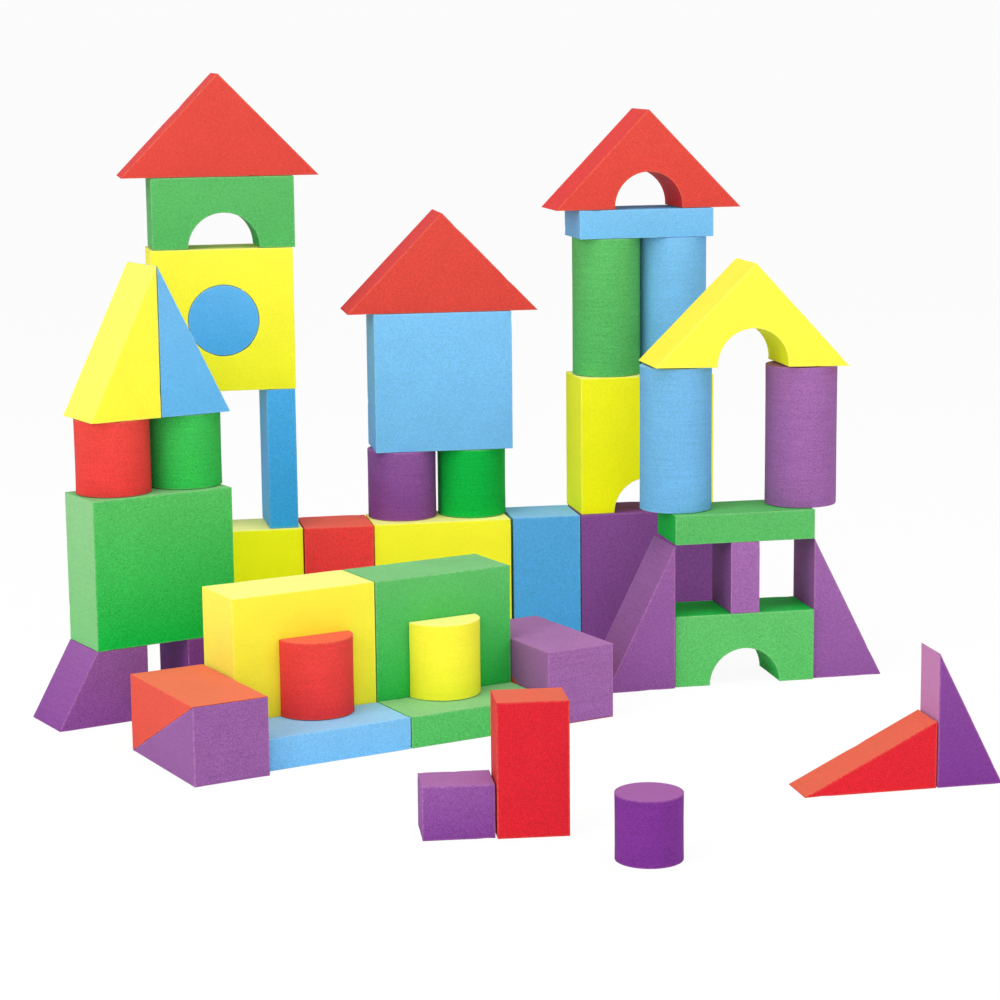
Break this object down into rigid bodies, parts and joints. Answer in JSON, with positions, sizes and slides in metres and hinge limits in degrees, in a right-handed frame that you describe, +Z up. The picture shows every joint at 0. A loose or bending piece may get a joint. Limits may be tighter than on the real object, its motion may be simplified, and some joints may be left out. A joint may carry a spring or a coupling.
{
  "type": "giant foam building block set",
  "caption": "Castle of giant foam building blocks: squares, bricks, slabs, rounds, wedges, arches and roofs, stacked loose so that each one lifts off or slides out.",
  "frame": {"origin": "middle of the bottom of the yellow square in the middle of the wall", "axes": "+X along the wall to the right, -Y to the front, +Z up"},
  "size_m": [0.8937, 0.8704, 0.6405],
  "materials": {
    "red_foam": "matt closed-cell EVA foam, cut faces",
    "green_foam": "matt closed-cell EVA foam, cut faces",
    "yellow_foam": "matt closed-cell EVA foam, cut faces",
    "blue_foam": "matt closed-cell EVA foam, cut faces",
    "purple_foam": "matt closed-cell EVA foam, cut faces"
  },
  "bodies": {
    "wall_middle_square": {"wall_middle_square": "yellow_foam"},
    "wall_red_brick": {"wall_red_brick": "red_foam"},
    "wall_left_square": {"wall_left_square": "yellow_foam"},
    "wall_blue_brick": {"wall_blue_brick": "blue_foam"},
    "wall_right_square": {"wall_right_square": "purple_foam"},
    "right_foot": {"right_foot": "purple_foam"},
    "left_foot": {"left_foot": "purple_foam"},
    "left_tower_square": {"left_tower_square": "green_foam"},
    "left_tower_red_round": {"left_tower_red_round": "red_foam"},
    "left_tower_green_round": {"left_tower_green_round": "green_foam"},
    "yellow_spire": {"yellow_spire": "yellow_foam"},
    "blue_spire": {"blue_spire": "blue_foam"},
    "window_left_post": {"window_left_post": "blue_foam"},
    "window_right_post": {"window_right_post": "blue_foam"},
    "window_square": {"window_square": "yellow_foam"},
    "window_plug": {"window_plug": "blue_foam"},
    "window_tower_arch": {"window_tower_arch": "green_foam"},
    "window_tower_roof": {"window_tower_roof": "red_foam"},
    "middle_purple_round": {"middle_purple_round": "purple_foam"},
    "middle_green_round": {"middle_green_round": "green_foam"},
    "middle_square": {"middle_square": "blue_foam"},
    "middle_roof": {"middle_roof": "red_foam"},
    "tall_notched_square": {"tall_notched_square": "yellow_foam"},
    "tall_green_column": {"tall_green_column": "green_foam"},
    "tall_blue_column": {"tall_blue_column": "blue_foam"},
    "tall_lintel": {"tall_lintel": "blue_foam"},
    "tall_arched_roof": {"tall_arched_roof": "red_foam"},
    "gate_arch": {"gate_arch": "green_foam"},
    "gate_left_triangle": {"gate_left_triangle": "purple_foam"},
    "gate_right_triangle": {"gate_right_triangle": "purple_foam"},
    "gate_post": {"gate_post": "purple_foam"},
    "gate_lintel": {"gate_lintel": "green_foam"},
    "gate_blue_column": {"gate_blue_column": "blue_foam"},
    "gate_purple_column": {"gate_purple_column": "purple_foam"},
    "gate_arched_roof": {"gate_arched_roof": "yellow_foam"},
    "bench_left_lower_wedge": {"bench_left_lower_wedge": "purple_foam"},
    "bench_left_upper_wedge": {"bench_left_upper_wedge": "red_foam"},
    "bench_blue_slab": {"bench_blue_slab": "blue_foam"},
    "bench_green_slab": {"bench_green_slab": "green_foam"},
    "bench_yellow_square": {"bench_yellow_square": "yellow_foam"},
    "bench_green_square": {"bench_green_square": "green_foam"},
    "bench_red_half_round": {"bench_red_half_round": "red_foam"},
    "bench_yellow_half_round": {"bench_yellow_half_round": "yellow_foam"},
    "bench_right_lower_wedge": {"bench_right_lower_wedge": "red_foam"},
    "bench_right_upper_wedge": {"bench_right_upper_wedge": "purple_foam"},
    "loose_red_brick": {"loose_red_brick": "red_foam"},
    "loose_purple_block": {"loose_purple_block": "purple_foam"},
    "loose_purple_round": {"loose_purple_round": "purple_foam"},
    "loose_red_ramp": {"loose_red_ramp": "red_foam"},
    "loose_purple_triangle": {"loose_purple_triangle": "purple_foam"}
  },
  "joints": [
    {"name": "wall_red_brick_slide", "type": "slide", "parent": "wall_middle_square", "child": "wall_red_brick", "axis": [0, 1, 0], "range_m": [0, 0.08]},
    {"name": "wall_left_square_slide", "type": "slide", "parent": "wall_middle_square", "child": "wall_left_square", "axis": [0, 1, 0], "range_m": [0, 0.08]},
    {"name": "wall_blue_brick_slide", "type": "slide", "parent": "wall_middle_square", "child": "wall_blue_brick", "axis": [0, 1, 0], "range_m": [0, 0.08]},
    {"name": "wall_right_square_slide", "type": "slide", "parent": "wall_middle_square", "child": "wall_right_square", "axis": [0, 1, 0], "range_m": [0, 0.08]},
    {"name": "right_foot_slide", "type": "slide", "parent": "wall_middle_square", "child": "right_foot", "axis": [0.3584, -0.9336, 0], "range_m": [0, 0.06]},
    {"name": "left_foot_slide", "type": "slide", "parent": "wall_middle_square", "child": "left_foot", "axis": [0.3584, -0.9336, 0], "range_m": [0, 0.06]},
    {"name": "left_tower_square_lift", "type": "slide", "parent": "right_foot", "child": "left_tower_square", "axis": [0, 0, 1], "range_m": [0, 0.06]},
    {"name": "left_tower_red_round_lift", "type": "slide", "parent": "left_tower_square", "child": "left_tower_red_round", "axis": [0, 0, 1], "range_m": [0, 0.06]},
    {"name": "left_tower_green_round_lift", "type": "slide", "parent": "left_tower_square", "child": "left_tower_green_round", "axis": [0, 0, 1], "range_m": [0, 0.06]},
    {"name": "yellow_spire_lift", "type": "slide", "parent": "left_tower_red_round", "child": "yellow_spire", "axis": [0, 0, 1], "range_m": [0, 0.06]},
    {"name": "blue_spire_lift", "type": "slide", "parent": "left_tower_green_round", "child": "blue_spire", "axis": [0, 0, 1], "range_m": [0, 0.06]},
    {"name": "window_left_post_lift", "type": "slide", "parent": "wall_left_square", "child": "window_left_post", "axis": [0, 0, 1], "range_m": [0, 0.06]},
    {"name": "window_right_post_pull", "type": "slide", "parent": "wall_left_square", "child": "window_right_post", "axis": [0.0175, -0.9998, 0], "range_m": [0, 0.08]},
    {"name": "window_square_lift", "type": "slide", "parent": "window_left_post", "child": "window_square", "axis": [0, 0, 1], "range_m": [0, 0.06]},
    {"name": "window_plug_pull", "type": "slide", "parent": "window_square", "child": "window_plug", "axis": [0.0175, -0.9998, 0], "range_m": [0, 0.08]},
    {"name": "window_tower_arch_lift", "type": "slide", "parent": "window_square", "child": "window_tower_arch", "axis": [0, 0, 1], "range_m": [0, 0.06]},
    {"name": "window_tower_roof_lift", "type": "slide", "parent": "window_tower_arch", "child": "window_tower_roof", "axis": [0, 0, 1], "range_m": [0, 0.06]},
    {"name": "middle_purple_round_pull", "type": "slide", "parent": "wall_middle_square", "child": "middle_purple_round", "axis": [-0.0175, -0.9998, 0], "range_m": [0, 0.08]},
    {"name": "middle_green_round_lift", "type": "slide", "parent": "wall_middle_square", "child": "middle_green_round", "axis": [0, 0, 1], "range_m": [0, 0.06]},
    {"name": "middle_square_lift", "type": "slide", "parent": "middle_green_round", "child": "middle_square", "axis": [0, 0, 1], "range_m": [0, 0.06]},
    {"name": "middle_roof_lift", "type": "slide", "parent": "middle_square", "child": "middle_roof", "axis": [0, 0, 1], "range_m": [0, 0.06]},
    {"name": "tall_notched_square_lift", "type": "slide", "parent": "wall_right_square", "child": "tall_notched_square", "axis": [0, 0, 1], "range_m": [0, 0.06]},
    {"name": "tall_green_column_lift", "type": "slide", "parent": "tall_notched_square", "child": "tall_green_column", "axis": [0, 0, 1], "range_m": [0, 0.06]},
    {"name": "tall_blue_column_pull", "type": "slide", "parent": "tall_notched_square", "child": "tall_blue_column", "axis": [0.0262, -0.9997, 0], "range_m": [0, 0.08]},
    {"name": "tall_lintel_lift", "type": "slide", "parent": "tall_green_column", "child": "tall_lintel", "axis": [0, 0, 1], "range_m": [0, 0.06]},
    {"name": "tall_arched_roof_lift", "type": "slide", "parent": "tall_lintel", "child": "tall_arched_roof", "axis": [0, 0, 1], "range_m": [0, 0.06]},
    {"name": "gate_arch_slide", "type": "slide", "parent": "wall_middle_square", "child": "gate_arch", "axis": [0.0175, -0.9998, 0], "range_m": [0, 0.06]},
    {"name": "gate_left_triangle_slide", "type": "slide", "parent": "wall_middle_square", "child": "gate_left_triangle", "axis": [0.0175, -0.9998, 0], "range_m": [0, 0.06]},
    {"name": "gate_right_triangle_slide", "type": "slide", "parent": "wall_middle_square", "child": "gate_right_triangle", "axis": [0.0175, -0.9998, 0], "range_m": [0, 0.06]},
    {"name": "gate_post_lift", "type": "slide", "parent": "gate_arch", "child": "gate_post", "axis": [0, 0, 1], "range_m": [0, 0.06]},
    {"name": "gate_lintel_lift", "type": "slide", "parent": "gate_post", "child": "gate_lintel", "axis": [0, 0, 1], "range_m": [0, 0.06]},
    {"name": "gate_blue_column_lift", "type": "slide", "parent": "gate_lintel", "child": "gate_blue_column", "axis": [0, 0, 1], "range_m": [0, 0.06]},
    {"name": "gate_purple_column_pull", "type": "slide", "parent": "gate_lintel", "child": "gate_purple_column", "axis": [0.0175, -0.9998, 0], "range_m": [0, 0.08]},
    {"name": "gate_arched_roof_lift", "type": "slide", "parent": "gate_blue_column", "child": "gate_arched_roof", "axis": [0, 0, 1], "range_m": [0, 0.06]},
    {"name": "bench_left_lower_wedge_slide", "type": "slide", "parent": "wall_middle_square", "child": "bench_left_lower_wedge", "axis": [0.3256, -0.9455, 0], "range_m": [0, 0.06]},
    {"name": "bench_left_upper_wedge_lift", "type": "slide", "parent": "bench_left_lower_wedge", "child": "bench_left_upper_wedge", "axis": [0, 0, 1], "range_m": [0, 0.06]},
    {"name": "bench_blue_slab_slide", "type": "slide", "parent": "wall_middle_square", "child": "bench_blue_slab", "axis": [0.3256, -0.9455, 0], "range_m": [0, 0.06]},
    {"name": "bench_green_slab_slide", "type": "slide", "parent": "wall_middle_square", "child": "bench_green_slab", "axis": [0.3256, -0.9455, 0], "range_m": [0, 0.06]},
    {"name": "bench_yellow_square_lift", "type": "slide", "parent": "wall_middle_square", "child": "bench_yellow_square", "axis": [0, 0, 1], "range_m": [0, 0.06]},
    {"name": "bench_green_square_lift", "type": "slide", "parent": "wall_middle_square", "child": "bench_green_square", "axis": [0, 0, 1], "range_m": [0, 0.06]},
    {"name": "bench_red_half_round_lift", "type": "slide", "parent": "bench_blue_slab", "child": "bench_red_half_round", "axis": [0, 0, 1], "range_m": [0, 0.06]},
    {"name": "bench_yellow_half_round_lift", "type": "slide", "parent": "bench_green_slab", "child": "bench_yellow_half_round", "axis": [0, 0, 1], "range_m": [0, 0.06]},
    {"name": "bench_right_lower_wedge_slide", "type": "slide", "parent": "wall_middle_square", "child": "bench_right_lower_wedge", "axis": [0.3256, -0.9455, 0], "range_m": [0, 0.06]},
    {"name": "bench_right_upper_wedge_lift", "type": "slide", "parent": "bench_right_lower_wedge", "child": "bench_right_upper_wedge", "axis": [0, 0, 1], "range_m": [0, 0.06]},
    {"name": "loose_red_brick_lift", "type": "slide", "parent": "wall_middle_square", "child": "loose_red_brick", "axis": [0, 0, 1], "range_m": [0, 0.06]},
    {"name": "loose_purple_block_lift", "type": "slide", "parent": "wall_middle_square", "child": "loose_purple_block", "axis": [0, 0, 1], "range_m": [0, 0.06]},
    {"name": "loose_purple_round_lift", "type": "slide", "parent": "wall_middle_square", "child": "loose_purple_round", "axis": [0, 0, 1], "range_m": [0, 0.06]},
    {"name": "loose_red_ramp_lift", "type": "slide", "parent": "wall_middle_square", "child": "loose_red_ramp", "axis": [0, 0, 1], "range_m": [0, 0.06]},
    {"name": "loose_purple_triangle_lift", "type": "slide", "parent": "wall_middle_square", "child": "loose_purple_triangle", "axis": [0, 0, 1], "range_m": [0, 0.06]}
  ]
}
